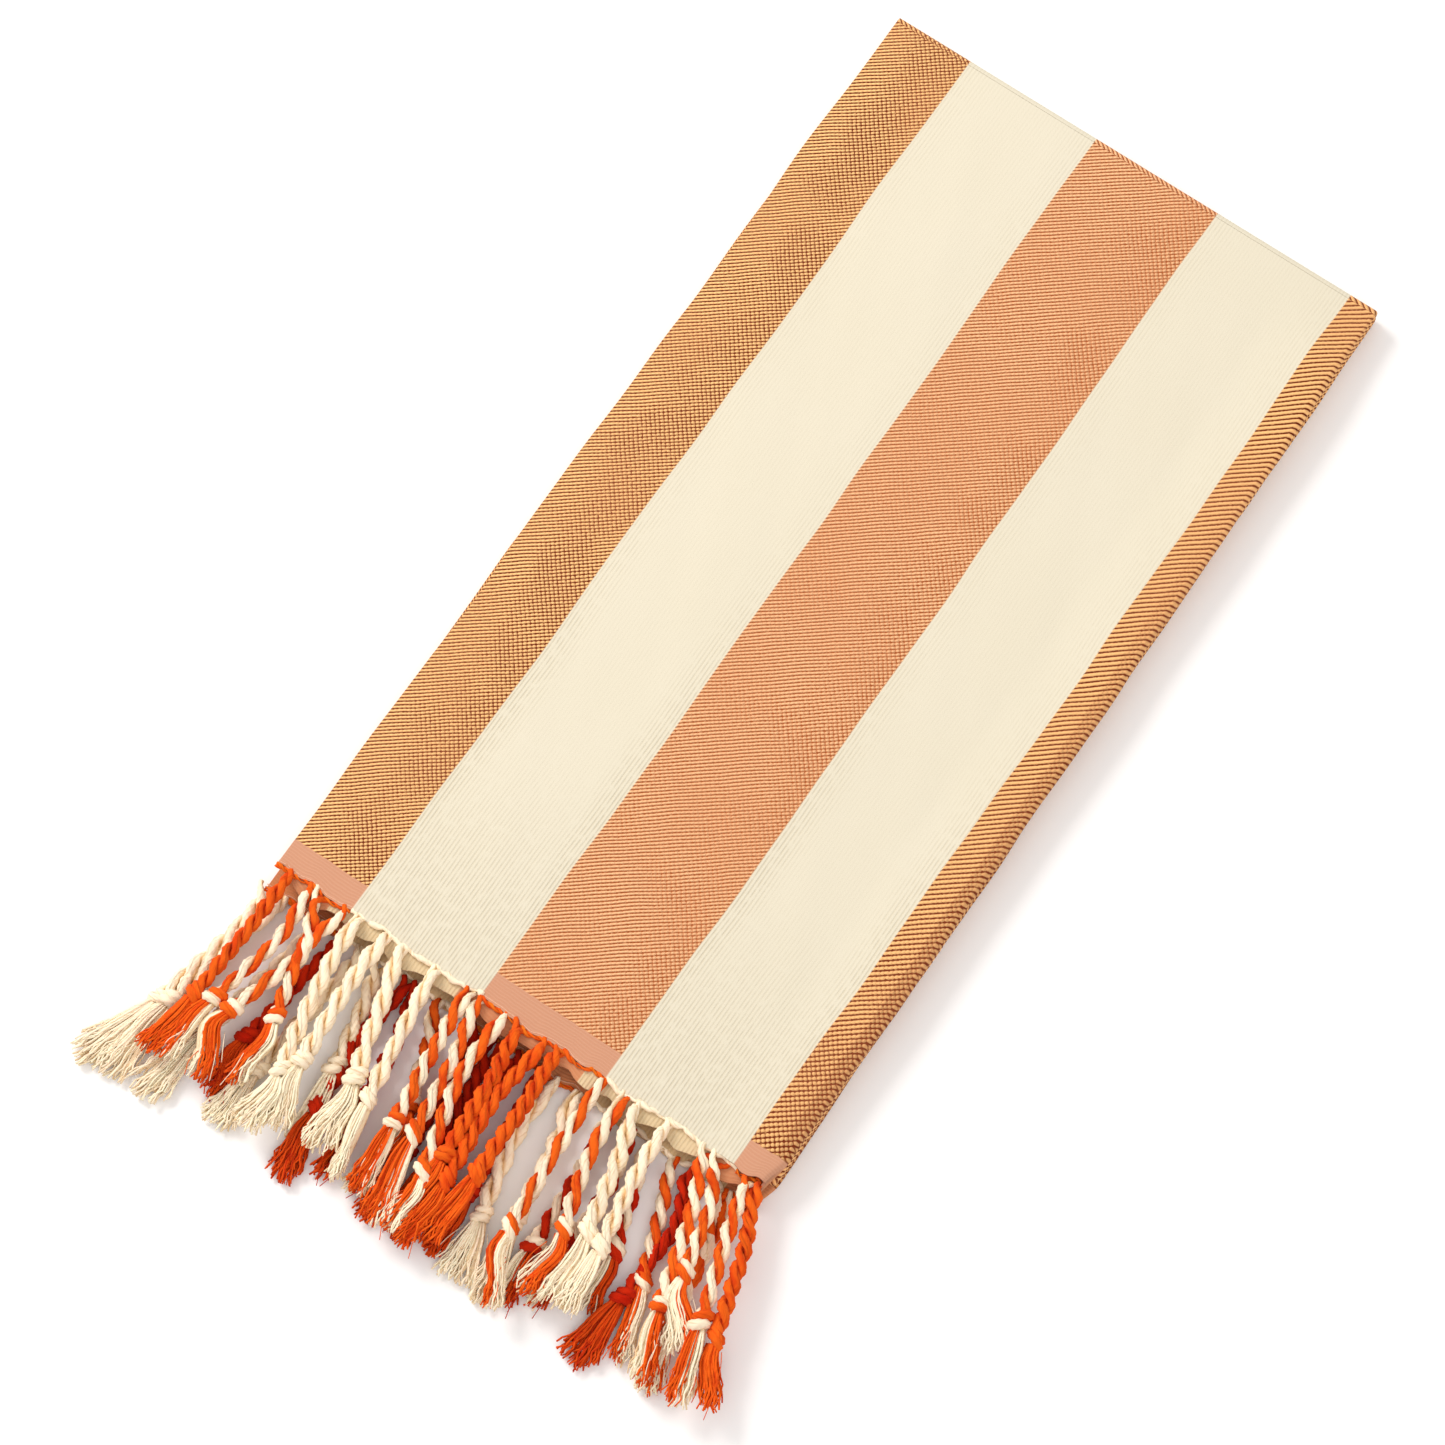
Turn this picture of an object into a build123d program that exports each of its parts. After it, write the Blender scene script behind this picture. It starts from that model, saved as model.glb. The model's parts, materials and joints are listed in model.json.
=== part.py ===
from build123d import *
from math import cos, radians, sin, tan
import os

# A striped cotton table runner with twisted and knotted fringe, folded in half
# lengthwise and then zigzag into four leaves, as it lies on a shelf or a table.
# Millimetres. X runs across the folded runner, with the lengthwise fold at +X.
# Y runs along it, towards the far creases, and Z is up from the underside.

# Cloth
runner_width = 332.0
ply_thickness = 0.92
ply_gap = 0.06
leaf_gap = 0.1
far_crease_y = 155.0
near_crease_y = -152.0
crease_flat = 0.1

# Plain-woven bands that finish the two ends of the cloth
band_length = 7.5
end_a_y = -155.0
end_b_y = -161.0

# Fringe
tassels_per_end = 22
edge_margin = 3.4
cord_diameter = 4.6
cord_reach_upper = 46.0
cord_reach_lower = 38.5
knot_diameter = 6.4
knot_length = 6.4
knot_cap = 1.6
tuft_length = 20.0
tuft_width = 6.2
tuft_height = 4.0
tuft_neck = 4.0
tuft_corner = 1.2
row_gap = 0.06
root_gap = 0.05
first_run_share = 0.3
lean_left = -5.0
lean_right = 20.0
wander = 0.5
bend_share = 0.45

folded_width = runner_width / 2
leaf_thickness = 2 * ply_thickness + ply_gap
leaf_pitch = leaf_thickness + leaf_gap
half_width = folded_width / 2


def leaf_floor(number):
    """Height of a leaf's underside; leaf 1 is on top and leaf 4 lies lowest."""
    return (4 - number) * leaf_pitch


def make_doubled_cloth(near_y, far_y, floor_z, rounded_corners):
    """Two plies joined by the lengthwise fold, with a quarter round at each crease."""
    middle_y = (near_y + far_y) / 2
    middle_z = floor_z + leaf_thickness / 2
    corner_points = {
        "near_low": (near_y, floor_z),
        "near_high": (near_y, floor_z + leaf_thickness),
        "far_low": (far_y, floor_z),
        "far_high": (far_y, floor_z + leaf_thickness),
    }
    with BuildPart() as cloth:
        with BuildSketch(Plane.XZ.offset(-near_y)) as plies:
            with Locations((0, middle_z)):
                Rectangle(folded_width, leaf_thickness)
            folded_side = plies.vertices().group_by(Axis.X)[-1]
            fillet(folded_side, radius=(leaf_thickness - crease_flat) / 2)
            with Locations((-ply_thickness, middle_z)):
                Rectangle(folded_width, ply_gap, mode=Mode.SUBTRACT)
        extrude(amount=-(far_y - near_y))
        with BuildSketch(Plane.YZ.offset(-half_width)) as side:
            with Locations((middle_y, middle_z)):
                Rectangle(far_y - near_y, leaf_thickness)
            creases = [side.vertices().sort_by_distance(corner_points[name])[0] for name in rounded_corners]
            if creases:
                fillet(creases, radius=leaf_thickness - crease_flat)
        extrude(amount=folded_width, mode=Mode.INTERSECT)
    return cloth.part


def make_tassel(index, end_y, floor_z):
    """A twisted cord that leaves the band, its overhand knot and the loose tuft beyond it."""
    share = index / (tassels_per_end - 1)
    root_x = -half_width + edge_margin + share * (folded_width - 2 * edge_margin)
    lean = radians(lean_left + share * (lean_right - lean_left))
    on_upper_ply = index % 2 == 0
    reach = cord_reach_upper if on_upper_ply else cord_reach_lower
    side_step = wander if on_upper_ply else -wander
    along = Vector(sin(lean), -cos(lean), 0)
    across = Vector(cos(lean), sin(lean), 0)
    root = Vector(root_x, end_y - root_gap, floor_z + cord_diameter / 2)
    knot_centre = root + along * reach
    first_bend = root + Vector(0, -first_run_share * reach, 0)
    second_bend = (first_bend + knot_centre) / 2 + across * side_step
    radii = bend_radii([root, first_bend, second_bend, knot_centre])
    with BuildPart() as tassel:
        with BuildLine() as route:
            FilletPolyline(root, first_bend, second_bend, knot_centre, radius=radii)
        with BuildSketch(Plane(root, z_dir=first_bend - root)):
            Circle(cord_diameter / 2)
        sweep(path=route.wires()[0])
        knot_middle = knot_centre + Vector(0, 0, (knot_diameter - cord_diameter) / 2)
        # The profile is on the side away from the cord's seam, so that the two seams never meet.
        with BuildSketch(Plane(knot_middle, x_dir=along, z_dir=-across)):
            with BuildLine():
                barrel = ThreePointArc(
                    (-knot_length / 2, knot_cap), (0, knot_diameter / 2), (knot_length / 2, knot_cap)
                )
                Polyline(barrel @ 1, (knot_length / 2, 0), (-knot_length / 2, 0), barrel @ 0)
            make_face()
        revolve(axis=Axis(knot_middle, along))
        tuft_start = Plane(knot_centre, x_dir=across, z_dir=along)
        with BuildSketch(tuft_start):
            RectangleRounded(tuft_neck, tuft_neck, tuft_corner)
        with BuildSketch(tuft_start.offset(tuft_length)):
            with Locations((0, (cord_diameter - tuft_height) / 2)):
                RectangleRounded(tuft_width, tuft_height, tuft_corner)
        loft()
    return tassel.part


def bend_radii(points):
    """The largest gentle arc that each bend's two runs leave room for."""
    radii = []
    for before, here, after in zip(points, points[1:], points[2:]):
        shorter = min((here - before).length, (after - here).length)
        turn = radians((here - before).get_angle(after - here))
        radii.append(bend_share * shorter / tan(turn / 2))
    return radii


def write_piece(piece, name):
    """Label a finished piece and write it under the same name."""
    piece.label = name
    export_step(piece, f"parts/{name}.step")
    print(f"{name}: {piece.volume:.1f} mm3, {len(piece.solids())} solid")


os.makedirs("parts", exist_ok=True)

# The four doubled leaves, top to bottom. Leaves 1 and 2 share a far crease, leaves 2 and 3
# the near crease, and leaves 3 and 4 the other far crease.
leaf_ends = {
    1: (end_a_y + band_length, ["far_high"]),
    2: (near_crease_y, ["far_low", "near_high"]),
    3: (near_crease_y, ["far_high", "near_low"]),
    4: (end_b_y + band_length, ["far_low"]),
}
for number, (near_y, rounded_corners) in leaf_ends.items():
    leaf = make_doubled_cloth(near_y, far_crease_y, leaf_floor(number), rounded_corners)
    write_piece(leaf, f"leaf_{number}")

# The plain-woven bands at the two ends of the cloth
write_piece(make_doubled_cloth(end_a_y, end_a_y + band_length, leaf_floor(1), []), "band_a")
write_piece(make_doubled_cloth(end_b_y, end_b_y + band_length, leaf_floor(4), []), "band_b")

# The fringe of each end. End A lies on end B, so its row starts level with leaf 1 or on
# top of end B's knots, whichever is higher.
upper_row_floor = max(leaf_floor(1), knot_diameter) + row_gap
for index in range(tassels_per_end):
    write_piece(make_tassel(index, end_a_y, upper_row_floor), f"tassel_a_{index + 1:02d}")
for index in range(tassels_per_end):
    write_piece(make_tassel(index, end_b_y, leaf_floor(4)), f"tassel_b_{index + 1:02d}")
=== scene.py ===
import bpy
import json
import math
import numpy as np
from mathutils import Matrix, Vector


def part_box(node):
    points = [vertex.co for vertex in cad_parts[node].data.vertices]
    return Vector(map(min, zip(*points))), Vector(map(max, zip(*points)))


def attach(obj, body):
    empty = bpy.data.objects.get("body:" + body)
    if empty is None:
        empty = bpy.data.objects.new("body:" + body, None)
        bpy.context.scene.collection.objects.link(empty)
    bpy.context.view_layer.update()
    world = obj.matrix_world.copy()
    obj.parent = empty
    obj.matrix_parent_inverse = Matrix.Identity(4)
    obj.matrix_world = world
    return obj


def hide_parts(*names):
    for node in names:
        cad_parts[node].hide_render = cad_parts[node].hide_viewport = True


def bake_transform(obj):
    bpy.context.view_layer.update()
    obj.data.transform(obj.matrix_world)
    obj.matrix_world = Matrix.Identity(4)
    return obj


# A striped cotton table runner with knotted fringe, folded in half lengthwise and then zigzag
# into four leaves. Metres, in the CAD frame: X across the packet with the lengthwise fold at +X,
# Y along it towards the far creases, Z up. Sizes are written in millimetres times MM, apart from those
# of the woven pattern, which the cloth's material uses as plain millimetres of the flat cloth.

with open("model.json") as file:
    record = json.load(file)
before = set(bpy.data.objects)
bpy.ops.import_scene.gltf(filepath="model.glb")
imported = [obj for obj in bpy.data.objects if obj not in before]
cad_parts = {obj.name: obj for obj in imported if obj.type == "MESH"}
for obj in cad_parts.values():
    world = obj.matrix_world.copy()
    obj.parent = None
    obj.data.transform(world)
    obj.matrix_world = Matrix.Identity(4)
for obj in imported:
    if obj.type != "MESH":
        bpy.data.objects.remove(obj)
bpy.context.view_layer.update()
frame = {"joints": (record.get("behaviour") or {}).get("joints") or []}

MM = 0.001

# Woven pattern
stripe_edges = (25.0, 69.0, 111.0, 155.0)    # from the selvedge to each colour change, up to the fold
band_length = 7.5                     # plain band at the two ends
fold_ridge = 3.6                      # from the fold to the ridge that runs beside it
twill_angle = 38.0                    # degrees
twill_pitch = 1.04
fold_pitch = 1.38                     # bolder wales on the stripe that turns round the fold
crossing_pitch = twill_pitch * 1.22   # of the second set of wales, which crosses the first
weft_pitch = 0.8
rib_pitch = 1.15
stripe_blur = 0.25                    # half the width over which one stripe's colour turns into the next

# Cloth
ply = 0.84 * MM                       # thickness of one ply
ply_clearance = 0.03 * MM             # from a ply's outer face to the leaf's CAD face
crease_gap = 0.04 * MM                # between a leaf and the cloth that turns through its crease
crease_fade = 25 * MM                 # waves of the long edges die out over this length at a crease
fold_loft = 2.0 * MM                  # how far the top leaf's lengthwise fold stands up
fold_bow = 0.9 * MM                   # how far its fold bows out halfway
end_draw_in = 2.2 * MM                # how far a woven end narrows beside the fold
end_reach = 9 * MM                    # the woven ends wave over this length of the cloth
fold_columns = 10
flat_columns = 140
crease_steps = 13
crease_v = 310.0                      # where the creases' cloth lies along the flat cloth, in plain mm

# Yarn
cord_turns = {"CC": 15.5 * MM, "OC": 12.5 * MM, "CO": 12.5 * MM}     # one full turn of the two strands
tight_turn = 10.8 * MM                # and of the other colours' cords
strand_radius = 1.18 * MM
edge_strand = 0.42 * MM               # radius of the thin strands twisted along a woven end
edge_turn = 5.5 * MM
strand_flutes = 5                     # finer yarns that a strand is spun from
strand_flute_turn = 11 * MM
strand_flute_depth = 0.11
knot_radius = 1.75 * MM               # from a knot's middle to the strand wrapped about it
knot_half_length = 1.4 * MM
lock_count = 7                        # thick locks in a tuft
lock_radius = 1.05 * MM
yarn_radius = 0.33 * MM               # a tuft's single yarns
wisp_radius = 0.12 * MM
wisp_count = 5
lowest_yarn = 0.05 * MM               # above the surface that the runner lies on
root_margin = 3.4 * MM                # first and last tassel from the selvedge and the fold


# ---------------------------------------------------------------- colours

studio_level = 1.37                   # light that falls on the cloth, in whites


def srgb(red, green, blue):
    """The reflectance that looks like this sRGB colour, in 8-bit steps, under the studio's light.
    A step above 255 is a yarn that is brighter than paper where it faces the light."""
    linear = []
    for channel in (red, green, blue):
        value = channel / 255
        value = value / 12.92 if value <= 0.04045 else ((value + 0.055) / 1.055) ** 2.4
        linear.append(value / studio_level)
    return (*linear, 1.0)


# Reflectances of the three yarns: cream, orange and red. The red is partly deeper dye and partly painted
# shade on the orange-red yarn of the lower fringe. The fourth number says how deep the patches of their dye
# are.
yarn_colours = {
    "C": (0.97, 0.82, 0.60, 0.10),
    "O": (0.83, 0.122, 0.009, 0.85),
    "R": (0.55, 0.022, 0.003, 0.75),
}
light_orange = (0.80, 0.17, 0.012, 0.5)
pink_thread = (0.74, 0.42, 0.28, 0.0)

# Painted shade: what each yarn's colour is multiplied by where it faces the other strand, and on a tuft's
# lower yarns
crevice_shade = {"C": (0.82, 0.64, 0.42), "O": (0.66, 0.34, 0.40), "R": (0.60, 0.40, 0.40)}


# ---------------------------------------------------------------- smooth random shapes

def wave(x, seed, length):
    """Smooth noise of about unit size along x, with bumps about length apart."""
    random = np.random.RandomState(seed)
    total = np.zeros_like(np.asarray(x, float))
    for share in (1.0, 0.57, 0.31):
        total += share * np.sin(2 * math.pi * x / (length * share) + random.uniform(0, 2 * math.pi))
    return total / 1.5


def smooth_step(low, high, x):
    t = np.clip((x - low) / (high - low), 0, 1)
    return t * t * (3 - 2 * t)


def unit(vectors):
    return vectors / np.maximum(np.linalg.norm(vectors, axis=-1, keepdims=True), 1e-12)


# ---------------------------------------------------------------- meshes

class Mesh:
    """Collects points, quads and per-point values, and makes one piece of them."""

    def __init__(self):
        self.points, self.quads, self.flat, self.tint = [], [], [], []
        self.rims = []
        self.lowest = lowest_yarn
        self.count = 0

    def add(self, points, quads, flat, tint):
        self.points.append(points)
        self.quads.append(np.asarray(quads, int) + self.count)
        self.flat.append(flat)
        self.tint.append(tint)
        self.count += len(points)

    def piece(self, name, material, slot):
        mesh = bpy.data.meshes.new(name)
        points = np.concatenate(self.points)
        quads = np.concatenate(self.quads)
        mesh.from_pydata(points.tolist(), [], quads.tolist())
        flat = mesh.attributes.new("flat", "FLOAT_VECTOR", "POINT")
        flat.data.foreach_set("vector", np.concatenate(self.flat).astype(np.float32).ravel())
        tint = mesh.attributes.new("tint", "FLOAT_COLOR", "POINT")
        tint.data.foreach_set("color", np.concatenate(self.tint).astype(np.float32).ravel())
        mesh.polygons.foreach_set("use_smooth", np.ones(len(quads), bool))
        mesh.materials.append(material)
        mesh.update()
        if self.rims:
            rim_number = np.zeros(self.count, int)
            for number, rim in enumerate(self.rims):
                rim_number[rim] = number + 1
            ends = np.empty(2 * len(mesh.edges), np.int32)
            mesh.edges.foreach_get("vertices", ends)
            first, second = rim_number[ends.reshape(-1, 2)].T
            mesh.edges.foreach_set("use_edge_sharp", (first == second) & (first > 0))
        piece = bpy.data.objects.new(name, mesh)
        bpy.context.scene.collection.objects.link(piece)
        return piece


def grid_quads(rows, columns, around=False):
    """Quads of a grid whose points are numbered row by row; around joins the last column to the first."""
    row = np.arange(rows - 1)[:, None]
    column = np.arange(columns if around else columns - 1)[None, :]
    following = (column + 1) % columns
    a, b = row * columns + column, row * columns + following
    c, d = (row + 1) * columns + following, (row + 1) * columns + column
    return np.stack([a, b, c, d], -1).reshape(-1, 4)


def grid_normals(grid):
    along_rows = np.gradient(grid, axis=0)
    along_columns = np.gradient(grid, axis=1)
    return unit(np.cross(along_columns, along_rows))


def thick_sheet(mesh, grid, thickness, flat, tint):
    """A closed sheet about a middle surface given as a grid of points, with a tint for each."""
    rows, columns, _ = grid.shape
    normals = grid_normals(grid)
    count = rows * columns
    front = (grid + normals * thickness / 2).reshape(-1, 3)
    back = (grid - normals * thickness / 2).reshape(-1, 3)
    faces = grid_quads(rows, columns)
    index = np.arange(count).reshape(rows, columns)
    rim = np.concatenate([index[0, :], index[1:, -1], index[-1, -2::-1], index[-2:0:-1, 0]])
    after = np.roll(rim, -1)
    border = np.stack([after, rim, rim + count, after + count], -1)
    quads = np.concatenate([faces, faces[:, ::-1] + count, border])
    tint = np.broadcast_to(tint, (rows, columns, 4)).reshape(-1, 4)
    mesh.rims += [rim + mesh.count, rim + count + mesh.count]
    mesh.add(np.concatenate([front, back]), quads, np.concatenate([flat.reshape(-1, 3)] * 2),
             np.concatenate([tint, tint]))


def smooth_path(knots, count):
    """Points of a Catmull-Rom curve through the knots, evenly spread."""
    knots = np.asarray(knots, float)
    padded = np.vstack([2 * knots[0] - knots[1], knots, 2 * knots[-1] - knots[-2]])
    t = np.linspace(0, 1, 24, endpoint=False)[:, None]
    runs = []
    for p0, p1, p2, p3 in zip(padded, padded[1:], padded[2:], padded[3:]):
        runs.append(0.5 * (2 * p1 + (p2 - p0) * t + (2 * p0 - 5 * p1 + 4 * p2 - p3) * t**2
                           + (3 * p1 - p0 - 3 * p2 + p3) * t**3))
    dense = np.vstack([*runs, knots[-1:]])
    length = np.concatenate([[0], np.cumsum(np.linalg.norm(np.diff(dense, axis=0), axis=1))])
    wanted = np.linspace(0, length[-1], count)
    return np.stack([np.interp(wanted, length, dense[:, k]) for k in range(3)], -1), wanted


def carried_frame(path):
    """Two directions square to the path at each point, turned as little as possible along it."""
    tangents = unit(np.gradient(path, axis=0))
    start = np.array([0.0, 0.0, 1.0]) if abs(tangents[0][2]) < 0.8 else np.array([1.0, 0.0, 0.0])
    normals = []
    normal = start
    for tangent in tangents:
        normal = normal - tangent * (normal @ tangent)
        normal = normal / np.linalg.norm(normal)
        normals.append(normal)
    normals = np.array(normals)
    return np.cross(tangents, normals), normals


def tube(mesh, path, radius, sides, colour, seed, flutes=0, flute_turn=6 * MM, flute_depth=0.08, core=None,
         core_shade=None):
    """A yarn or strand along a path. Flutes are the finer yarns that it is spun from. Towards the core, which
    is the line it twists about, it is darkened with painted shade."""
    path = np.asarray(path, float)
    count = len(path)
    radius = np.broadcast_to(np.asarray(radius, float), (count,))
    across, up = carried_frame(path)
    length = np.concatenate([[0], np.cumsum(np.linalg.norm(np.diff(path, axis=0), axis=1))])
    angle = np.arange(sides) * 2 * math.pi / sides
    lay = angle[None, :] - 2 * math.pi * length[:, None] / flute_turn
    reach = radius[:, None] * (1 + flute_depth * np.cos(flutes * lay) * (flutes > 0))
    ring = (path[:, None, :] + reach[..., None] * (np.cos(angle)[None, :, None] * across[:, None, :]
                                                   + np.sin(angle)[None, :, None] * up[:, None, :]))
    ring[..., 2] = np.maximum(ring[..., 2], mesh.lowest)
    quads = grid_quads(count, sides, around=True)
    first = count * sides
    start_cap = path[:1] - (path[1] - path[0]) * 0.2
    end_cap = path[-1:] + unit(path[-1] - path[-2]) * radius[-1] * 0.5
    j = np.arange(0, sides, 2)
    last_row = (count - 1) * sides
    start_faces = np.stack([np.full(len(j), first), (j + 2) % sides, (j + 1) % sides, j], -1)
    end_faces = np.stack([np.full(len(j), first + 1), last_row + j, last_row + (j + 1) % sides,
                          last_row + (j + 2) % sides], -1)
    points = np.concatenate([ring.reshape(-1, 3), start_cap, end_cap])
    flat = np.zeros((len(points), 3))
    flat[:first, 0] = ((np.arange(sides) / sides)[None, :] * 2 * math.pi * radius[:, None] / MM).ravel()
    flat[:first, 1] = np.repeat(length / MM, sides)
    flat[first + 1, 1] = length[-1] / MM
    flat[:, 2] = seed * 7.31
    tint = np.array(np.broadcast_to(np.asarray(colour, float), (len(points), 4)))
    # Painted shade: the side of the strand that faces the core is darkened
    if core is not None:
        inward = unit(core - path)[:, None, :]
        facing = smooth_step(-0.15, 0.75, np.sum(inward * unit(ring - path[:, None, :]), -1)).reshape(-1, 1)
        tint[:first, :3] *= 1 - facing * (1 - np.array(core_shade))
    mesh.add(points, np.concatenate([quads, start_faces, end_faces]), flat, tint)


# ---------------------------------------------------------------- materials

class Graph:
    """Short calls for building one material's nodes."""

    def __init__(self, name):
        self.material = bpy.data.materials.new(name)
        self.material.use_nodes = True
        self.tree = self.material.node_tree
        self.shader = next(n for n in self.tree.nodes if n.type == "BSDF_PRINCIPLED")

    def put(self, socket, value):
        if isinstance(value, bpy.types.NodeSocket):
            self.tree.links.new(value, socket)
        else:
            socket.default_value = value

    def math(self, operation, *values):
        node = self.tree.nodes.new("ShaderNodeMath")
        node.operation = operation
        for socket, value in zip(node.inputs, values):
            self.put(socket, value)
        return node.outputs[0]

    def plus(self, first, second):
        return self.math("ADD", first, second)

    def minus(self, first, second):
        return self.math("SUBTRACT", first, second)

    def times(self, first, second):
        return self.math("MULTIPLY", first, second)

    def scaled(self, value, factor, start):
        return self.math("MULTIPLY_ADD", value, factor, start)

    def rest(self, share):
        """What is left of 1."""
        return self.math("SUBTRACT", 1.0, share)

    def attribute(self, name):
        node = self.tree.nodes.new("ShaderNodeAttribute")
        node.attribute_name = name
        return node

    def split(self, vector):
        node = self.tree.nodes.new("ShaderNodeSeparateXYZ")
        self.put(node.inputs[0], vector)
        return node.outputs[0], node.outputs[1], node.outputs[2]

    def join(self, x, y, z):
        node = self.tree.nodes.new("ShaderNodeCombineXYZ")
        for socket, value in zip(node.inputs, (x, y, z)):
            self.put(socket, value)
        return node.outputs[0]

    def noise(self, vector, scale, detail=2.0):
        node = self.tree.nodes.new("ShaderNodeTexNoise")
        self.put(node.inputs["Vector"], vector)
        node.inputs["Scale"].default_value = scale
        node.inputs["Detail"].default_value = detail
        return node.outputs["Fac"]

    def mix(self, share, first, second, blend="MIX"):
        node = self.tree.nodes.new("ShaderNodeMix")
        node.data_type = "RGBA"
        node.blend_type = blend
        self.put(node.inputs[0], share)
        self.put(node.inputs[6], first)
        self.put(node.inputs[7], second)
        return node.outputs[2]

    def ramp(self, value, low, high):
        """0 below low and 1 above high, smoothly in between."""
        node = self.tree.nodes.new("ShaderNodeMapRange")
        node.interpolation_type = "SMOOTHSTEP"
        for socket, number in zip(node.inputs, (value, low, high, 0.0, 1.0)):
            self.put(socket, number)
        return node.outputs[0]

    def ripple(self, value, pitch):
        """0 to 1 and back once per pitch."""
        turn = self.times(value, 2 * math.pi / pitch)
        return self.scaled(self.math("COSINE", turn), 0.5, 0.5)

    def bump(self, height, distance, strength):
        node = self.tree.nodes.new("ShaderNodeBump")
        node.inputs["Distance"].default_value = distance
        node.inputs["Strength"].default_value = strength
        self.put(node.inputs["Height"], height)
        self.put(self.shader.inputs["Normal"], node.outputs[0])


def finish_of(graph, roughness, sheen):
    graph.shader.inputs["Roughness"].default_value = roughness
    graph.shader.inputs["Sheen Weight"].default_value = sheen
    graph.shader.inputs["Sheen Roughness"].default_value = 0.5
    graph.shader.inputs["Specular IOR Level"].default_value = 0.06


class ClothPlaces:
    """Where a point is on the flat cloth, in its own millimetres: u runs across the whole cloth from one
    selvedge to the other, and v from the woven end. A stripe is 1 inside it and 0 elsewhere."""

    def __init__(self, g, folded_width):
        self.fold_u = folded_width
        self.u, self.v, _ = g.split(g.attribute("flat").outputs["Vector"])
        self.here = g.join(self.u, self.v, 0.0)
        self.from_edge = g.minus(folded_width, g.math("ABSOLUTE", g.minus(self.u, folded_width)))
        past = [g.ramp(self.from_edge, edge - stripe_blur, edge + stripe_blur) for edge in stripe_edges[:3]]
        # The stripe that turns round the fold is narrower towards the crease than at the woven end
        narrowing = g.scaled(g.ramp(self.v, 40.0, 300.0), 2.4, -0.8)
        from_drifting_edge = g.minus(g.minus(self.from_edge, narrowing), stripe_edges[3])
        self.at_fold = g.ramp(from_drifting_edge, -stripe_blur, stripe_blur)
        self.outer = g.rest(past[0])
        self.beyond_cream = past[1]
        self.middle = g.minus(past[1], past[2])
        self.cream = g.plus(g.minus(past[0], past[1]), g.minus(past[2], self.at_fold))
        self.wander = g.times(g.minus(g.noise(self.here, 0.05), 0.5), 1.1)


def crossing_depth(g, at, unbroken):
    """How deep the second set of wales cuts the first: deeper in patches, in the right part of a stripe and
    beyond the ridge beside the fold, and hardly at all where the fold stripe's wales are unbroken."""
    right_part = g.plus(g.times(g.ramp(at.from_edge, 2.0, 16.0), at.outer),
                        g.times(g.ramp(at.from_edge, 84.0, 116.0), at.beyond_cream))
    patch = g.ramp(g.plus(g.times(right_part, 0.30), g.noise(at.here, 0.05, 2.0)), 0.40, 0.90)
    ridge_u = at.fold_u - fold_ridge
    beside_ridge = g.plus(at.u, g.times(g.noise(at.here, 0.12), 1.6))
    beyond_ridge = g.times(g.ramp(beside_ridge, ridge_u, ridge_u + 1.2),
                           g.rest(g.ramp(at.u, at.fold_u + 1.0, at.fold_u + 4.0)))
    beyond_ridge = g.times(beyond_ridge, g.rest(g.ramp(at.v, 130.0, 270.0)))
    patch = g.math("MAXIMUM", g.times(patch, g.rest(unbroken)), beyond_ridge)
    depth = g.minus(g.scaled(patch, 0.46, 0.42), g.times(unbroken, 0.30))
    return depth, patch, beyond_ridge


def twill(g, at):
    """Wales that climb to the right, crossed by a second set. Returns their colour and their height."""
    slant = math.radians(twill_angle)
    wale = g.plus(g.times(at.u, -math.sin(slant)), g.times(at.v, math.cos(slant)))
    wale = g.plus(wale, at.wander)
    cross = g.plus(g.times(at.u, math.cos(slant)), g.times(at.v, math.sin(slant)))
    unbroken = g.times(at.at_fold, g.ramp(at.v, 20.0, 150.0))
    depth, patch, beyond_ridge = crossing_depth(g, at, unbroken)
    ridge = g.plus(g.times(g.ripple(wale, twill_pitch), g.rest(at.at_fold)),
                   g.times(g.ripple(wale, fold_pitch), at.at_fold))
    knots = g.ripple(g.plus(cross, at.wander), crossing_pitch)
    height = g.times(ridge, g.rest(g.times(g.rest(knots), depth)))

    # Colour: dark between the wales and light on them, partly the woven pattern's two yarns and partly
    # painted shade in the grooves and painted highlight on the wales, with more contrast in the outer stripes
    speck = g.times(g.minus(g.noise(at.here, 1.3, 3.0), 0.5), 0.6)
    lifted = g.plus(g.scaled(patch, 0.06, height), speck)
    shade = g.plus(g.times(g.ramp(lifted, 0.00, 0.48), at.middle),
                   g.times(g.ramp(lifted, 0.06, 0.46), g.rest(at.middle)))
    dark = g.mix(at.middle, srgb(118, 34, 2), srgb(174, 84, 34))
    light = g.mix(at.middle, srgb(296, 230, 154), srgb(284, 216, 159))
    light = g.mix(g.times(at.at_fold, 0.26), light, srgb(246, 172, 104))
    faded = g.ramp(g.noise(at.here, 0.02, 2.0), 0.35, 0.65)
    tan = g.mix(g.times(faded, 0.18), g.mix(shade, dark, light), srgb(238, 152, 104))
    # Painted shade beyond the ridge, where the cloth rolls down over the fold
    tan = g.mix(g.times(beyond_ridge, 0.26), tan, dark)
    return tan, height


def plain_band(g, at):
    """The pink band at a woven end, with weft lines. Returns where it is, its colour and its weft."""
    ragged = g.times(g.minus(g.noise(at.here, 0.5), 0.5), 0.7)
    band = g.rest(g.ramp(g.plus(at.v, ragged), band_length - 0.2, band_length + 0.2))
    weft = g.ripple(g.plus(at.v, g.times(at.wander, 0.4)), weft_pitch)
    # The weft lines are lighter where they are raised: painted highlight
    return band, g.mix(g.times(weft, 0.35), srgb(226, 162, 128), srgb(240, 184, 152)), weft


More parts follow.
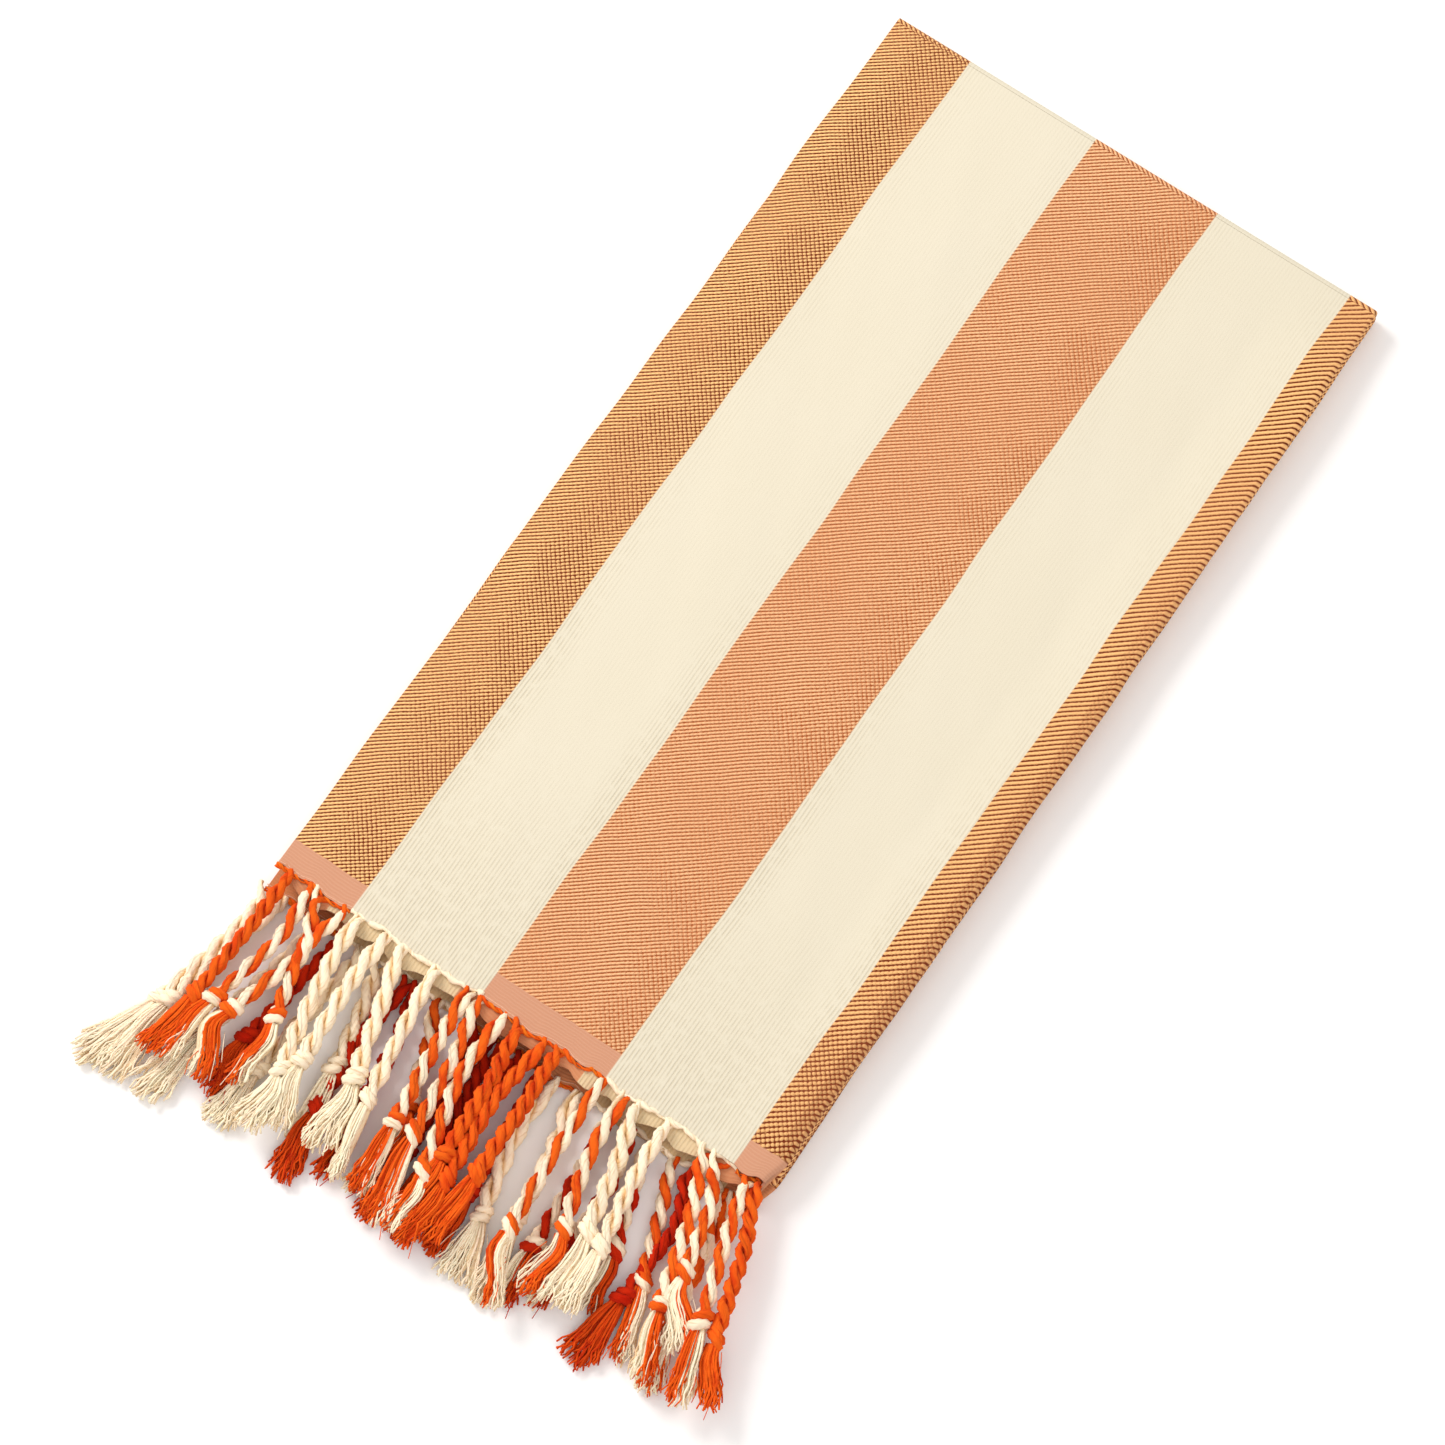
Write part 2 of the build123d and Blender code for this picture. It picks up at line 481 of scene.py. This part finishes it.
def ribbed(g, at):
    """Cream with lengthwise ribs, clearest beside the other stripes and near the woven end. Returns the
    colour and how deep the grooves between the ribs are."""
    rib = g.ripple(g.plus(at.u, g.times(at.wander, 0.12)), rib_pitch)
    beside = 100.0
    for edge in stripe_edges:
        beside = g.math("MINIMUM", beside, g.math("ABSOLUTE", g.minus(at.from_edge, edge)))
    clear = g.times(g.rest(g.ramp(beside, 1.0, 11.0)), g.rest(g.times(g.ramp(at.v, 50.0, 180.0), 0.72)))
    clear = g.math("MAXIMUM", clear, g.rest(g.ramp(at.v, 0.0, 80.0)))
    clear = g.times(g.scaled(clear, 0.85, 0.15), g.ramp(g.noise(at.here, 0.35, 2.0), 0.15, 0.6))
    groove = g.times(g.math("POWER", g.rest(rib), 1.6), clear)
    # Painted shade in the grooves between the ribs
    pale = g.mix(g.times(groove, 0.50), srgb(248, 238, 215), srgb(222, 204, 170))
    pale = g.mix(g.times(g.noise(at.here, 0.025, 2.0), 0.3), pale, srgb(240, 228, 196))
    return pale, groove


def cloth_material(folded_width):
    """Tan twill stripes, ribbed cream stripes and the plain band."""
    g = Graph("striped_cotton")
    at = ClothPlaces(g, folded_width)
    tan, twill_height = twill(g, at)
    band, pink, weft = plain_band(g, at)
    pale, groove = ribbed(g, at)
    colour = g.mix(at.cream, g.mix(band, tan, pink), pale)
    colour = g.mix(1.0, colour, g.attribute("tint").outputs["Color"], "MULTIPLY")
    g.put(g.shader.inputs["Base Color"], colour)
    tan_height = g.plus(g.times(twill_height, g.rest(band)), g.times(g.times(weft, band), 0.2))
    cream_height = g.times(g.rest(groove), 0.35)
    level = g.plus(g.times(tan_height, g.rest(at.cream)), g.times(cream_height, at.cream))
    rough_weave = g.times(g.noise(at.here, 3.0, 2.0), 0.18)
    g.bump(g.plus(level, rough_weave), 0.46 * MM, 0.9)
    finish_of(g, 0.9, 0.05)
    return g.material


def yarn_material():
    """Spun cotton: each yarn's own colour, streaked along its fibres and darker in the dye's deep patches."""
    g = Graph("spun_cotton")
    around, along, which = g.split(g.attribute("flat").outputs["Vector"])
    fibre = g.plus(around, g.times(along, 0.55))
    streak = g.noise(g.join(g.times(fibre, 2.0), g.times(along, 0.18), which), 1.0, 3.0)
    depth = g.noise(g.join(g.times(around, 0.25), g.times(along, 0.16), which), 1.0, 2.0)
    tint = g.attribute("tint").outputs["Color"]
    deep = g.mix(1.0, tint, (0.78, 0.36, 0.40, 1.0), "MULTIPLY")
    amount = g.times(g.ramp(depth, 0.42, 0.72), g.attribute("tint").outputs["Alpha"])
    colour = g.mix(amount, tint, deep)
    dark = g.mix(1.0, colour, (0.80, 0.68, 0.56, 1.0), "MULTIPLY")
    colour = g.mix(g.rest(g.ramp(streak, 0.26, 0.48)), colour, dark)
    g.put(g.shader.inputs["Base Color"], colour)
    g.bump(streak, 0.4 * MM, 0.9)
    finish_of(g, 0.9, 0.02)
    return g.material


def floor_material():
    g = Graph("pale_floor")
    g.shader.inputs["Base Color"].default_value = (0.93, 0.915, 0.905, 1.0)
    g.shader.inputs["Roughness"].default_value = 0.9
    g.shader.inputs["Specular IOR Level"].default_value = 0.1
    return g.material


# ---------------------------------------------------------------- where the cloth lies

leaf_box = {number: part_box(f"leaf_{number}") for number in (1, 2, 3, 4)}
left = leaf_box[1][0].x
right = leaf_box[1][1].x
end_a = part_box("band_a")[0].y
end_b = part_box("band_b")[0].y
joint_at = {joint["name"]: Vector(joint["pos_m"]) for joint in frame["joints"]}
far_y = joint_at["far_fold_top"].y
near_y = joint_at["near_fold"].y
folded_mm = (right - left) / MM

striped_cotton = cloth_material(folded_mm)
spun_cotton = yarn_material()


def away_from_creases(y, number):
    """0 at a leaf's creases and 1 away from them. Leaves 1 and 4 have no near crease."""
    inside = smooth_step(0, crease_fade, far_y - y)
    return inside if number in (1, 4) else inside * smooth_step(0, crease_fade, y - near_y)


def fold_edge(y, number):
    """Where the lengthwise fold lies. Its bow and waver fade out at the creases."""
    bow = fold_bow * np.sin(math.pi * (y - near_y) / (far_y - near_y))
    waver = 0.35 * MM * wave(y, 40 + number, 90 * MM)
    return right - 0.6 * MM + away_from_creases(y, number) * (bow * (number == 1) + waver)


def selvedge(y, number, lower):
    """Where one ply's selvedge lies."""
    waver = 0.45 * MM * wave(y, 60 + number + 10 * lower, 120 * MM)
    return left + 0.4 * MM + away_from_creases(y, number) * waver


def leaf_surface(number, y_rows):
    """Middle surface of a doubled leaf, row by row along Y: upper ply, round the fold, lower ply."""
    low, high = leaf_box[number]
    lower_z, upper_z = low.z + ply / 2 + ply_clearance, high.z - ply / 2 - ply_clearance
    share = np.linspace(0, 1, flat_columns)
    angle = np.linspace(math.pi / 2, -math.pi / 2, fold_columns + 2)[1:-1]
    rows, flats = [], []
    for y in y_rows:
        edge = float(fold_edge(y, number))
        inside = float(smooth_step(0, 30 * MM, far_y - y))
        loft = fold_loft * inside if number == 1 else 0.0
        round_x = (upper_z - lower_z) / 2 * (1 + 1.2 * inside * (number == 1))
        start_up, start_low = float(selvedge(y, number, 0)), float(selvedge(y, number, 1))
        x_up = start_up + share * (edge - round_x - start_up)
        x_low = start_low + share * (edge - round_x - start_low)
        swell = loft * smooth_step(edge - 26 * MM, edge - 2 * MM, x_up)
        billow = 0.0
        if number == 1:
            billow = inside * (0.16 * MM * wave(x_up, 5, 70 * MM) * wave(np.full_like(x_up, y), 6, 110 * MM)
                               + 0.10 * MM * wave(x_up + 0.4 * y, 7, 42 * MM))
        z_up = upper_z + swell + billow
        z_low = np.full_like(x_low, lower_z)
        fold_top = z_up[-1]
        middle, half = (fold_top + lower_z) / 2, (fold_top - lower_z) / 2
        fold_x = edge - round_x + round_x * np.cos(angle)
        fold_z = middle + half * np.sin(angle)
        x = np.concatenate([x_up, fold_x, x_low[::-1]])
        z = np.concatenate([z_up, fold_z, z_low[::-1]])
        rows.append(np.stack([x, np.full_like(x, y), z], -1))
        u_up = share * (folded_mm - 1.0)
        u_fold = folded_mm - 1.0 + 2.0 * (np.arange(fold_columns) + 1) / (fold_columns + 1)
        flats.append(np.concatenate([u_up, u_fold, 2 * folded_mm - u_up[::-1]]))
    return np.array(rows), np.array(flats)


def end_wave(x, end_seed):
    """How far the woven edge reaches beyond its straight line."""
    return 0.8 * MM + 0.6 * MM * wave(x, end_seed, 34 * MM) + 0.45 * MM * wave(x, end_seed + 1, 14 * MM)


def drawn_in(x):
    """How far the woven end is pulled in from the fold."""
    return end_draw_in * smooth_step(right - 12 * MM, right, x)


def lower_ply_reach(x):
    """The top leaf's lower ply shows beyond the upper one, pulled out at the roots of its tassels."""
    pull = np.abs(np.cos(math.pi * (x - left) / (15.2 * MM)))
    corner = smooth_step(0, 12 * MM, x - left)
    return corner * (3.6 * MM + 1.6 * MM * pull**2 + 0.5 * MM * wave(x, 33, 41 * MM))


def make_leaf(number, body, replaced):
    """One doubled leaf with its plain band if it has a free end."""
    free_end = {1: end_a, 4: end_b}.get(number)
    near = near_y if free_end is None else free_end
    first = near if free_end is not None else near + crease_gap
    rows = np.concatenate([first + np.linspace(0, end_reach, 14),
                           np.linspace(first + 12 * MM, far_y - 4 * MM, 96),
                           [far_y - 2 * MM, far_y - crease_gap]])
    grid, u = leaf_surface(number, rows)
    along = (grid[..., 1] - near) / MM
    if free_end is None:
        # Leaves 2 and 3 lie further along the cloth, beyond the plain band's reach
        along = along + 400.0 * number
    flat = np.stack([u, along, np.zeros_like(u)], -1)
    tint = np.ones((*u.shape, 4))
    if free_end is not None:
        lower = np.zeros(grid.shape[1])
        lower[flat_columns + fold_columns // 2:] = 1
        x = grid[0, :, 0]
        below = end_wave(x, 80 + number) + (lower_ply_reach(x) if number == 1 else 0.7 * MM)
        reach = np.where(lower > 0, below, end_wave(x, 90 + number))
        fade = 1 - smooth_step(0, end_reach, grid[..., 1] - near)
        grid[..., 0] -= fade * drawn_in(x)[None, :]
        grid[..., 1] -= fade * reach[None, :]
        # The plies' ends carry a warm painted shade where the roots and the plies above shade them; the top
        # leaf's lower ply is also folded a little off the upper one, so its stripes don't lie exactly beneath
        if number == 1:
            shift = 6.0 * lower * smooth_step(0, 12 * MM, right - x)
            flat[..., 0] -= shift[None, :]
            painted_warm_shade = lower[None, :] * (1 - smooth_step(2 * MM, 12 * MM, grid[..., 1] - near))
            tint[..., :3] -= np.array([0.0, 0.15, 0.34]) * painted_warm_shade[..., None]
        else:
            # Painted warm shade on the lowest leaf's end, under the fringe and the leaves above
            painted_warm_shade = 1 - smooth_step(4 * MM, 16 * MM, grid[..., 1] - near)
            tint[..., :3] -= np.array([0.0, 0.22, 0.46]) * painted_warm_shade[..., None]
    mesh = Mesh()
    thick_sheet(mesh, grid, ply, flat, tint)
    piece = mesh.piece(f"runner_leaf_{number}", striped_cotton, "striped_cloth")
    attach(piece, body)
    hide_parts(*replaced)
    return piece


def make_crease(name, joint, above, outward):
    """The cloth that turns through a crease: the upper leaf's section swept round the hinge line."""
    hinge = joint_at[joint]
    section, u = leaf_surface(above, [hinge.y])
    section, u = section[0], u[0]
    height = section[:, 2] - hinge.z
    angles = np.linspace(-math.pi / 2, math.pi / 2, crease_steps)
    middle = flat_columns + fold_columns // 2
    pieces = []
    for part, columns in (("outer", slice(0, middle + 1)), ("inner", slice(middle, None))):
        x, h = section[columns, 0], height[columns]
        grid = np.stack([np.broadcast_to(x, (len(angles), len(x))),
                         hinge.y + outward * np.cos(angles)[:, None] * h[None, :],
                         hinge.z + np.sin(angles)[:, None] * h[None, :]], -1)
        if outward < 0:
            grid = grid[::-1]
        arc = (angles[:, None] + math.pi / 2) * h[None, :] / MM
        flat = np.stack([np.broadcast_to(u[columns], arc.shape), arc + crease_v,
                         np.zeros_like(arc)], -1)
        mesh = Mesh()
        thick_sheet(mesh, grid, ply, flat, np.ones(4))
        piece = mesh.piece(f"{name}_{part}", striped_cotton, "striped_cloth")
        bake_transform(piece)
        pieces.append(piece)
    return pieces


# ---------------------------------------------------------------- the woven edge's rolls and threads

def make_edge(letter, body, z, end_y, seed):
    """Along a woven end: the soft rolled edge of the cream stripes, and the two thin twisted strands and the
    pink thread of the tan ones."""
    mesh = Mesh()
    edges_mm = (0.0, *stripe_edges, folded_mm)
    for number, (start, stop) in enumerate(zip(edges_mm, edges_mm[1:])):
        cream = number % 2 == 1
        x = np.linspace(left + start * MM, left + stop * MM - (1.5 * MM if number == 4 else 0), 60)
        y = end_y - end_wave(x, seed)
        path = np.stack([x - drawn_in(x), y, np.full_like(x, z)], -1)
        if cream:
            path[:, 1] += 0.1 * MM + 0.35 * MM * wave(x, seed + number, 8 * MM)
            path[:, 2] += 0.3 * MM * wave(x, seed + number + 3, 12 * MM)
            radius = 0.74 * MM + 0.26 * MM * wave(x, seed + number + 5, 9 * MM)
            tube(mesh, path, radius, 12, yarn_colours["C"], seed + number, flutes=3, flute_turn=9 * MM)
        else:
            path[:, 1] -= 0.5 * MM - 0.25 * MM * wave(x, seed + number, 15 * MM)
            radius = edge_strand * (1 + 0.5 * wave(x, seed + number + 11, 13 * MM))
            for strand, colour in enumerate((light_orange, yarn_colours["O"])):
                turn = 2 * math.pi * x / edge_turn + strand * math.pi
                twisted = path.copy()
                twisted[:, 1] += edge_strand * np.cos(turn)
                twisted[:, 2] += edge_strand * np.sin(turn)
                tube(mesh, twisted, radius, 8, colour, seed + number + strand, flutes=2, flute_turn=3 * MM)
            thread = path.copy()
            thread[:, 1] += 1.15 * MM + 0.15 * MM * wave(x, seed + 30 + number, 17 * MM)
            thread[:, 2] += edge_strand
            tube(mesh, thread, 0.15 * MM, 6, pink_thread, seed + number)
    piece = mesh.piece(f"woven_edge_{letter}", spun_cotton, "fringe_yarn")
    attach(piece, body)
    return piece


# ---------------------------------------------------------------- tassels

# One line for each tassel from the selvedge to the fold: its two strands' colours, how far its root is
# shifted along the edge, the cord's lean, its sideways sway and its length to the knot, then the tuft's
# lean, length and spread. Millimetres and degrees; a positive lean is towards the lengthwise fold.
upper_row = [
    ("OO", 1.6, -2, 0.5, 43, -9, 19, 7),
    ("OC", 1.5, -5, 2.5, 41, -8, 20, 7),
    ("CO", -3.0, -1, 5.5, 41, 10, 20, 8),
    ("OC", -2.6, 3, -3.5, 36, 0, 20, 7),
    ("CC", -5.7, 9, -1.5, 48, -1, 17, 10),
    ("CC", -3.8, 2, -1.0, 42, 14, 18, 8),
    ("CC", -5.4, 15, -0.5, 39, 4, 21, 11),
    ("CC", -2.0, 8, -0.5, 41, 11, 22, 4),
    ("OC", 1.5, 6, -0.5, 42, 6, 20, 8),
    ("OC", -2.1, 9, 0.5, 42, 10, 25, 9),
    ("OC", -1.7, 8, -3.0, 49, 3, 17, 5),
    ("OO", -3.8, 5, 0.5, 42, -4, 18, 7),
    ("OO", -3.4, 0, -2.0, 47, -3, 20, 6),
    ("OO", -6.4, 2, 0.5, 41, -4, 21, 8),
    ("OC", 1.0, 3, -0.5, 48, 22, 21, 6),
    ("CO", 0.9, 10, -2.0, 41, -1, 19, 8),
    ("CC", -2.2, 13, 0.0, 38, 4, 21, 8),
    ("CC", 0.0, 6, -1.0, 39, 6, 18, 8),
    ("CO", 5.6, 17, 0.5, 45, 20, 19, 8),
    ("CO", 2.1, 17, 1.0, 33, 33, 21, 11),
    ("OC", 4.5, 15, -1.0, 42, 17, 22, 8),
    ("OO", 0.0, 18, 0.5, 44, 29, 18, 8),
]
lower_row = [
    ("CC", -1.8, -9, 1.5, 43, -17, 26, 13),
    ("CC", -5.0, -11, 0.0, 42, -6, 25, 12),
    ("CC", 0.0, -10, 1.0, 42, -12, 25, 14),
    ("RR", 0.0, -7, 0.0, 38, 5, 18, 8),
    ("CC", 0.0, -6, 0.0, 44, -4, 18, 11),
    ("CC", -1.3, 11, 0.0, 32, 8, 22, 9),
    ("RR", 0.0, 0, -1.5, 44, 8, 20, 10),
    ("RR", -4.0, 9, 1.0, 41, 5, 17, 7),
    ("CO", -4.5, 19, 0.0, 30, -2, 27, 6),
    ("RR", 2.0, 4, 0.0, 40, 0, 20, 8),
    ("RR", 0.0, 6, 0.0, 38, 2, 20, 8),
    ("RR", 0.0, 2, 0.0, 42, 0, 18, 8),
    ("RR", 0.0, 4, 0.0, 40, 0, 18, 8),
    ("CC", -3.0, 6, -2.5, 43, 10, 18, 13),
    ("CC", -3.5, 9, 0.5, 40, 12, 22, 10),
    ("CR", 0.0, 4, 0.5, 42, 5, 16, 8),
    ("CR", 0.0, 6, 1.5, 34, 2, 20, 8),
    ("CR", -1.5, 15, -0.5, 31, 8, 17, 7),
    ("OC", -1.0, 19, -0.5, 35, 17, 22, 6),
    ("RR", -3.0, 6, 3.0, 40, -3, 21, 12),
    ("OC", 0.0, 12, 0.0, 38, 12, 19, 8),
    ("CO", -5.0, 8, 0.0, 38, 14, 19, 8),
]


def heading(degrees):
    lean = math.radians(degrees)
    return np.array([math.sin(lean), -math.cos(lean), 0.0])


def make_cord(mesh, centre, length, colours, random, seed):
    """Two strands twisted about each other; at the root they stand apart."""
    tangents = unit(np.gradient(centre, axis=0))
    across = -unit(np.cross(tangents, np.array([0, 0, 1.0])))
    up = -np.cross(across, tangents)
    up = np.where(up[:, 2:] < 0, -up, up)
    phase = random.uniform(0, math.pi)
    turn = cord_turns.get(colours, tight_turn) * random.uniform(0.88, 1.15)
    apart = random.choice([0.5, 1.2, 2.2]) * MM
    thick = 1.0 + 0.12 * (colours == "CC") + random.uniform(-0.06, 0.06)
    for strand, colour in enumerate(colours):
        angle = phase + strand * math.pi - 2 * math.pi * length / turn
        loose = 1 + 0.16 * wave(length, seed + strand, 17 * MM)
        root_spread = apart * (1 - smooth_step(0, 8 * MM, length)) * (1 if strand else -1)
        narrow = 0.55 + 0.45 * smooth_step(0, 5 * MM, length)
        offset = 0.92 * strand_radius * thick * loose
        path = (centre + across * (offset * np.cos(angle) + root_spread)[:, None]
                + up * (0.9 * narrow * offset * np.sin(angle))[:, None])
        radius = narrow * strand_radius * thick * (1 + 0.13 * wave(length, seed + 7 + strand, 11 * MM))
        # Each strand is darkened with painted shade where it faces the other strand
        tube(mesh, path, radius, 18, yarn_tint(colour, random), seed * 3 + strand, flutes=strand_flutes,
             flute_turn=strand_flute_turn, flute_depth=strand_flute_depth, core=centre,
             core_shade=crevice_shade[colour])


def yarn_tint(letter, random):
    """A yarn's colour with its own slight shift."""
    base = np.array(yarn_colours[letter])
    base[:3] = base[:3] * random.uniform(0.93, 1.05)
    return base


def make_knot(mesh, centre, along, colours, random, seed):
    """An overhand knot: each strand wraps a little more than once about the cord."""
    across = unit(np.cross(along, [0, 0, 1.0]))
    up = np.array([0, 0, 1.0])
    size = random.uniform(0.92, 1.12)
    tilt = random.choice([-1, 1]) * random.uniform(0.35, 0.75)
    place = np.linspace(-1, 1, 34)
    for strand, colour in enumerate(colours):
        angle = np.linspace(0, 2.3 * math.pi, 34) + strand * math.pi + random.uniform(-0.5, 0.5)
        climb = (place * knot_half_length + (strand - 0.5) * 0.9 * MM) * size
        ring = knot_radius * size * (1 - 0.12 * place**2)
        path = (centre + along * (climb + tilt * ring * np.cos(angle))[:, None]
                + across * (ring * np.cos(angle))[:, None] + up * (0.9 * ring * np.sin(angle))[:, None])
        radius = 1.15 * strand_radius * size * (0.6 + 0.4 * np.sin(np.linspace(0.25, math.pi - 0.25, 34)))
        tube(mesh, path, radius, 16, yarn_tint(colour, random), seed * 5 + strand, flutes=strand_flutes,
             flute_turn=strand_flute_turn, flute_depth=strand_flute_depth)


def make_tuft(mesh, start, along, tip_heading, tuft_length, spread, floor_z, colours, random, seed):
    """The loose yarns beyond the knot: a few thick locks, many single yarns that fan out with them, and a
    few thin wisps on top."""
    side = np.array([-tip_heading[1], tip_heading[0], 0.0])
    count = lock_count + (44 if spread < 9 * MM else 62)
    rest_z = start[2]
    parting = random.uniform(-0.35, 0.35)
    for number in range(count):
        is_lock = number < lock_count
        place = random.uniform(-0.75, 0.75) if is_lock else random.uniform(-1, 1)
        colour = colours[int(place + random.normal(0, 0.25) > parting)]
        layer = 0.3 if is_lock else random.uniform(0, 1)
        reach = tuft_length * random.uniform(0.80, 1.05) * (1 - 0.10 * place * place)
        out = spread / 2 * place
        first = start + side * 1.5 * MM * place + np.array([0, 0, (layer - 0.5) * 2.4 * MM])
        second = first + along * 0.30 * reach + side * out * 0.25
        third = start + tip_heading * 0.68 * reach + side * out * 0.72
        last = start + tip_heading * reach + side * (out + random.normal(0, 0.35) * MM)
        second[2] = rest_z + (layer - 0.5) * 3.0 * MM
        third[2] = (rest_z + floor_z) / 2 + (layer - 0.4) * 2.6 * MM
        last[2] = floor_z + (0.5 + 2.2 * layer) * MM
        path, along_path = smooth_path([first, second, third, last], 11)
        curl = smooth_step(0.3, 1.0, along_path / along_path[-1])
        path += side * (curl * 0.7 * MM * wave(along_path, seed * 50 + number, 8 * MM))[:, None]
        path[:, 2] = np.maximum(path[:, 2], floor_z + 0.35 * MM)
        radius = yarn_radius * random.uniform(0.8, 1.25) * np.linspace(1.0, 0.75, 11)
        if is_lock:
            radius = lock_radius * (1 - 0.75 * smooth_step(0.45, 1.0, along_path / along_path[-1]))
        tint = yarn_tint(colour, random)
        # Red tufts are turned half back to orange, because part of the red is painted shade
        if colour == "R":
            tint[:3] = 0.5 * tint[:3] + 0.5 * np.array(yarn_colours["O"][:3])
        # Painted shade: the tuft's lower yarns are darkened, more the lower they lie
        shaded = 0.7 * (1 - np.array(crevice_shade[colour])) * (1 - smooth_step(0.0, 0.75, layer))
        tint[:3] = np.minimum(tint[:3] * 1.04, 0.97) * (1 - shaded)
        tube(mesh, path, radius, 9 if is_lock else 5, tint, seed * 60 + number, flutes=5 * is_lock,
             flute_turn=30 * MM, flute_depth=0.12)
    for number in range(wisp_count):
        place = random.uniform(-1, 1)
        first = start + tip_heading * tuft_length * random.uniform(0.1, 0.6) + side * spread * 0.3 * place
        middle = first + tip_heading * 5 * MM + side * random.uniform(-2.5, 2.5) * MM
        last = middle + tip_heading * random.uniform(2, 6) * MM + side * random.uniform(-2, 2) * MM
        for point, height in ((first, 2.6), (middle, 3.4), (last, 1.6)):
            point[2] = floor_z + height * MM
        path, _ = smooth_path([first, middle, last], 9)
        tube(mesh, path, wisp_radius, 4, yarn_tint(colours[number % 2], random), seed * 70 + number)


def make_tassel(row, index, facts, end_y, root_z, knot_z, tip_z):
    """One twisted cord with its knot and tuft, standing for the CAD tassel of the same place."""
    strands, shift, lean, sway, reach, tuft_lean, tuft_length, spread = facts
    seed = index + (100 if row == "a" else 200)
    random = np.random.RandomState(seed)
    share = index / (len(upper_row) - 1)
    root_x = left + root_margin + share * (right - left - 2 * root_margin) + shift * MM
    root = np.array([root_x, end_y - 0.6 * MM, root_z])
    way = heading(lean)
    side = np.array([-way[1], way[0], 0.0])
    knot = root + way * reach * MM
    knot[2] = knot_z
    bend = root + way * 0.42 * reach * MM + side * sway * MM
    bend[2] = root_z * 0.25 + knot_z * 0.75
    later = root + way * 0.75 * reach * MM + side * sway * 0.55 * MM
    later[2] = root_z * 0.05 + knot_z * 0.95
    first = root + np.array([0, -4.0 * MM, 0.6 * (knot_z - root_z)])
    centre, length = smooth_path([root, first, bend, later, knot], 84)
    mesh = Mesh()
    mesh.lowest = tip_z - 0.15 * MM
    make_cord(mesh, centre, length, strands, random, seed)
    along = unit(centre[-1] - centre[-6])
    level = unit(np.array([along[0], along[1], 0.0]))
    make_knot(mesh, knot + level * 1.0 * MM, level, strands, random, seed)
    make_tuft(mesh, knot + level * 3.0 * MM, level, heading(tuft_lean), tuft_length * MM, spread * MM, tip_z,
              strands, random, seed)
    name = f"tassel_{row}_{index + 1:02d}"
    piece = mesh.piece(f"{name}_yarn", spun_cotton, "fringe_yarn")
    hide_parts(name)
    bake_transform(piece)
    return piece


# ---------------------------------------------------------------- build the runner

leaf_1 = make_leaf(1, "top_leaf", ["leaf_1", "band_a"])
leaf_2 = make_leaf(2, "second_leaf", ["leaf_2"])
leaf_3 = make_leaf(3, "third_leaf", ["leaf_3"])
leaf_4 = make_leaf(4, "lowest_leaf", ["leaf_4", "band_b"])
top_crease = make_crease("far_crease_top", "far_fold_top", 1, 1)
near_crease = make_crease("near_crease", "near_fold", 2, -1)
low_crease = make_crease("far_crease_low", "far_fold_low", 3, 1)

top_z = leaf_box[1][1].z
fringe_floor_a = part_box("tassel_a_01")[0].z
edge_a = make_edge("a", "top_leaf", top_z - ply * 0.6, end_a, 91)
edge_b = make_edge("b", "lowest_leaf", leaf_box[4][1].z - ply * 0.6, end_b, 94)

# The knots of neighbouring tassels lie at three slightly different heights
for index, facts in enumerate(upper_row):
    lift = (index % 3) * 0.35 * MM
    make_tassel("a", index, facts, end_a, top_z - 0.8 * MM, fringe_floor_a + 2.7 * MM + lift,
                                 fringe_floor_a)
for index, facts in enumerate(lower_row):
    lift = (index % 3) * 0.3 * MM
    make_tassel("b", index, facts, end_b, 2.0 * MM, 2.8 * MM + lift, 0.2 * MM)


# ---------------------------------------------------------------- floor, light and camera

def make_floor():
    half, z = 3.0, -0.25 * MM
    mesh = bpy.data.meshes.new("floor")
    corners = [(-half, -half, z), (half, -half, z), (half, half, z), (-half, half, z)]
    mesh.from_pydata(corners, [], [(0, 1, 2, 3)])
    mesh.materials.append(floor_material())
    floor = bpy.data.objects.new("floor", mesh)
    bpy.context.scene.collection.objects.link(floor)


def make_light(name, place, aim, size, power, colour):
    data = bpy.data.lights.new(name, "AREA")
    data.shape = "DISK"
    data.size = size
    data.energy = power
    data.color = colour
    light = bpy.data.objects.new(name, data)
    light.location = place
    light.rotation_euler = (Vector(aim) - Vector(place)).to_track_quat("-Z", "Y").to_euler()
    bpy.context.scene.collection.objects.link(light)


def make_world(strength):
    world = bpy.data.worlds.new("studio")
    world.use_nodes = True
    background = next(n for n in world.node_tree.nodes if n.type == "BACKGROUND")
    background.inputs[0].default_value = (1.0, 0.99, 0.98, 1.0)
    background.inputs[1].default_value = strength
    bpy.context.scene.world = world


def make_camera():
    """Looks down on the packet from over its fringe end, with the runner turned across the frame."""
    azimuth, elevation, distance = math.radians(34.2), math.radians(72.1), 1.5
    aim = Vector((-4.9 * MM, -50.4 * MM, 0))
    back = Vector((math.sin(azimuth) * math.cos(elevation), -math.cos(azimuth) * math.cos(elevation),
                   math.sin(elevation)))
    data = bpy.data.cameras.new("camera")
    data.lens = 132.4
    data.sensor_width = 36.0
    camera = bpy.data.objects.new("camera", data)
    camera.location = aim + back * distance
    camera.rotation_euler = (-back).to_track_quat("-Z", "Y").to_euler()
    bpy.context.scene.collection.objects.link(camera)
    bpy.context.scene.camera = camera


make_floor()
make_world(0.82)
make_light("key", (-1.2, 0.2, 0.95), (0, -0.02, 0), 0.7, 17.0, (1.0, 0.985, 0.965))
make_light("fill", (0.9, -0.9, 1.6), (0, 0, 0), 1.6, 8.5, (1.0, 0.97, 0.96))
make_camera()
bpy.context.scene.view_settings.view_transform = "Standard"
